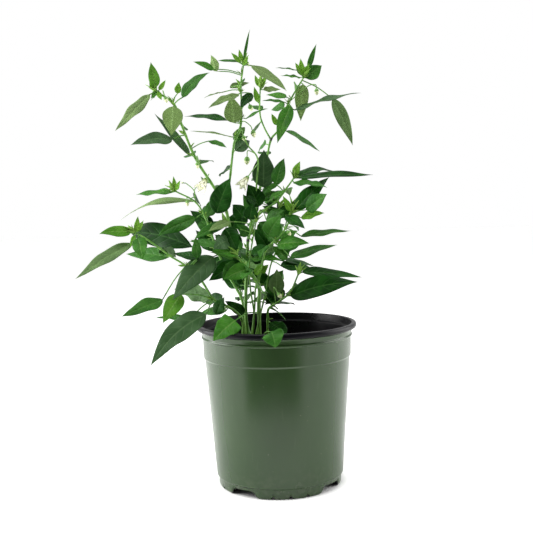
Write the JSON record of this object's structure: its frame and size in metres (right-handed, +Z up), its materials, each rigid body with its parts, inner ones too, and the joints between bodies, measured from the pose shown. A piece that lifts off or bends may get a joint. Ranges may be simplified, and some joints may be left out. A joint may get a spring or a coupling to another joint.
{
  "type": "potted chilli pepper plant",
  "caption": "Young chilli pepper plant with slender canes, pointed leaves, buds and white flowers, in a round green nursery pot with a rolled black lip.",
  "frame": {"origin": "centre of the pot's underside, where it rests", "axes": "+Z up along the pot's axis, -Y the front that the picture shows, +X to its right"},
  "size_m": [0.2871, 0.2003, 0.4683],
  "materials": {
    "pot_plastic": "two-tone thin moulded plastic: green outside, black inside and on the lip, satin gloss",
    "potting_soil": "loose dark potting mix with bark crumbs and perlite",
    "stem": "smooth green bark with dark joints",
    "leaf": "veined green leaf, glossier above and paler below",
    "flower": "thin soft white petals"
  },
  "bodies": {
    "root": {"branch_centre": "stem", "branch_cross": "stem", "branch_front_right": "stem", "branch_inner_right": "stem", "branch_low_left": "stem", "branch_low_right": "stem", "branch_right": "stem", "cane_back_left": "stem", "cane_left_leader": "stem", "cane_right_leader": "stem", "flower_centre": "flower", "flower_left": "flower", "leaf_back_left_1": "leaf", "leaf_back_left_2": "leaf", "leaf_back_left_3": "leaf", "leaf_back_left_4": "leaf", "leaf_centre_1": "leaf", "leaf_centre_2": "leaf", "leaf_centre_3": "leaf", "leaf_front_right_1": "leaf", "leaf_front_right_2": "leaf", "leaf_front_right_3": "leaf", "leaf_front_right_4": "leaf", "leaf_front_right_5": "leaf", "leaf_front_right_6": "leaf", "leaf_left_leader_1": "leaf", "leaf_left_leader_10": "leaf", "leaf_left_leader_11": "leaf", "leaf_left_leader_12": "leaf", "leaf_left_leader_2": "leaf", "leaf_left_leader_3": "leaf", "leaf_left_leader_4": "leaf", "leaf_left_leader_5": "leaf", "leaf_left_leader_6": "leaf", "leaf_left_leader_7": "leaf", "leaf_left_leader_8": "leaf", "leaf_left_leader_9": "leaf", "leaf_low_left_1": "leaf", "leaf_low_left_2": "leaf", "leaf_low_left_3": "leaf", "leaf_low_left_4": "leaf", "leaf_low_left_5": "leaf", "leaf_low_left_6": "leaf", "leaf_low_left_7": "leaf", "leaf_low_left_8": "leaf", "leaf_low_right_1": "leaf", "leaf_low_right_2": "leaf", "leaf_low_right_3": "leaf", "leaf_right_1": "leaf", "leaf_right_2": "leaf", "leaf_right_3": "leaf", "leaf_right_leader_1": "leaf", "leaf_right_leader_2": "leaf", "leaf_right_leader_3": "leaf", "leaf_right_leader_4": "leaf", "leaf_right_leader_5": "leaf", "leaf_right_leader_6": "leaf", "leaf_right_leader_7": "leaf", "pot": "pot_plastic", "soil": "potting_soil"}
  },
  "joints": []
}
